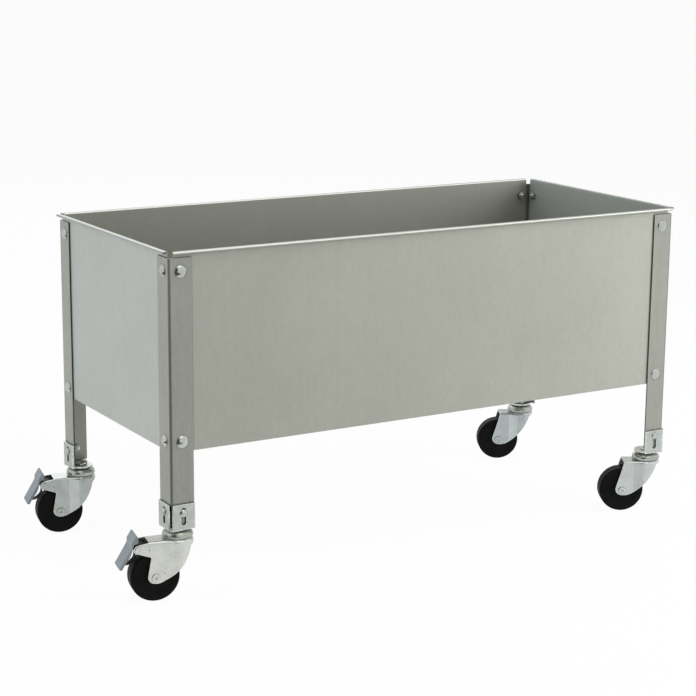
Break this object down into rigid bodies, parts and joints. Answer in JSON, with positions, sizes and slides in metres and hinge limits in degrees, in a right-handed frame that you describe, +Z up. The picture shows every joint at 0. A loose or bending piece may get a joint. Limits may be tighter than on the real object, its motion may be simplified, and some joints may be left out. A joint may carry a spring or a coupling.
{
  "type": "rolling planter",
  "caption": "Rectangular galvanised steel planter tub with a hemmed rim on angle legs, each on a swivel caster; the pair at one end has foot brakes.",
  "frame": {"origin": "on the floor, at the middle of the footprint with the casters as they stand", "axes": "+X along the tub's length towards the plain casters, +Y towards the back, +Z up"},
  "size_m": [0.8582, 0.376, 0.447],
  "materials": {
    "galvanised_sheet": "galvanised, dull",
    "galvanised_angle": "galvanised, dull",
    "zinc_plate": "bright zinc",
    "black_wheel": "satin",
    "black_steel": "satin",
    "grey_plastic": "matte"
  },
  "bodies": {
    "tub": {"front_panel": "galvanised_sheet", "back_panel": "galvanised_sheet", "left_end_panel": "galvanised_sheet", "right_end_panel": "galvanised_sheet", "floor_panel": "galvanised_sheet", "panel_bolts": "zinc_plate", "panel_nuts": "zinc_plate", "caster_bolts": "zinc_plate", "caster_nuts": "zinc_plate", "front_left_leg": "galvanised_angle", "front_left_bracket": "zinc_plate", "front_left_race_cup": "zinc_plate", "front_left_kingpin": "zinc_plate", "front_right_leg": "galvanised_angle", "front_right_bracket": "zinc_plate", "front_right_race_cup": "zinc_plate", "front_right_kingpin": "zinc_plate", "back_right_leg": "galvanised_angle", "back_right_bracket": "zinc_plate", "back_right_race_cup": "zinc_plate", "back_right_kingpin": "zinc_plate", "back_left_leg": "galvanised_angle", "back_left_bracket": "zinc_plate", "back_left_race_cup": "zinc_plate", "back_left_kingpin": "zinc_plate"},
    "front_left_caster": {"front_left_fork": "zinc_plate", "front_left_balls": "zinc_plate", "front_left_axle": "zinc_plate", "front_left_brake_pin": "zinc_plate"},
    "front_left_roller": {"front_left_wheel": "black_wheel", "front_left_bush": "zinc_plate"},
    "front_left_brake": {"front_left_brake_lever": "black_steel", "front_left_brake_leaf": "black_steel", "front_left_brake_pedal": "grey_plastic"},
    "front_right_caster": {"front_right_fork": "zinc_plate", "front_right_balls": "zinc_plate", "front_right_axle": "zinc_plate"},
    "front_right_roller": {"front_right_wheel": "black_wheel", "front_right_bush": "zinc_plate"},
    "back_right_caster": {"back_right_fork": "zinc_plate", "back_right_balls": "zinc_plate", "back_right_axle": "zinc_plate"},
    "back_right_roller": {"back_right_wheel": "black_wheel", "back_right_bush": "zinc_plate"},
    "back_left_caster": {"back_left_fork": "zinc_plate", "back_left_balls": "zinc_plate", "back_left_axle": "zinc_plate", "back_left_brake_pin": "zinc_plate"},
    "back_left_roller": {"back_left_wheel": "black_wheel", "back_left_bush": "zinc_plate"},
    "back_left_brake": {"back_left_brake_lever": "black_steel", "back_left_brake_leaf": "black_steel", "back_left_brake_pedal": "grey_plastic"}
  },
  "joints": [
    {"name": "front_left_swivel", "type": "hinge", "parent": "tub", "child": "front_left_caster", "pos_m": [-0.34895, -0.166, 0.076], "axis": [0, 0, 1], "continuous": true},
    {"name": "front_left_wheel_turn", "type": "hinge", "parent": "front_left_caster", "child": "front_left_roller", "pos_m": [-0.38029, -0.15957, 0.032], "axis": [-0.2011, -0.9796, 0], "continuous": true},
    {"name": "front_left_brake_turn", "type": "hinge", "parent": "front_left_caster", "child": "front_left_brake", "pos_m": [-0.40233, -0.15504, 0.071], "axis": [0.2011, 0.9796, 0], "range_deg": [0, 20]},
    {"name": "front_right_swivel", "type": "hinge", "parent": "tub", "child": "front_right_caster", "pos_m": [0.40705, -0.166, 0.076], "axis": [0, 0, 1], "continuous": true},
    {"name": "front_right_wheel_turn", "type": "hinge", "parent": "front_right_caster", "child": "front_right_roller", "pos_m": [0.37504, -0.14954, 0.032], "axis": [-0.4571, -0.8894, 0], "continuous": true},
    {"name": "back_right_swivel", "type": "hinge", "parent": "tub", "child": "back_right_caster", "pos_m": [0.40705, 0.148, 0.076], "axis": [0, 0, 1], "continuous": true},
    {"name": "back_right_wheel_turn", "type": "hinge", "parent": "back_right_caster", "child": "back_right_roller", "pos_m": [0.37504, 0.16446, 0.032], "axis": [-0.4571, -0.8894, 0], "continuous": true},
    {"name": "back_left_swivel", "type": "hinge", "parent": "tub", "child": "back_left_caster", "pos_m": [-0.34895, 0.148, 0.076], "axis": [0, 0, 1], "continuous": true},
    {"name": "back_left_wheel_turn", "type": "hinge", "parent": "back_left_caster", "child": "back_left_roller", "pos_m": [-0.38029, 0.15443, 0.032], "axis": [-0.2011, -0.9796, 0], "continuous": true},
    {"name": "back_left_brake_turn", "type": "hinge", "parent": "back_left_caster", "child": "back_left_brake", "pos_m": [-0.40233, 0.15896, 0.071], "axis": [0.2011, 0.9796, 0], "range_deg": [0, 20]}
  ]
}
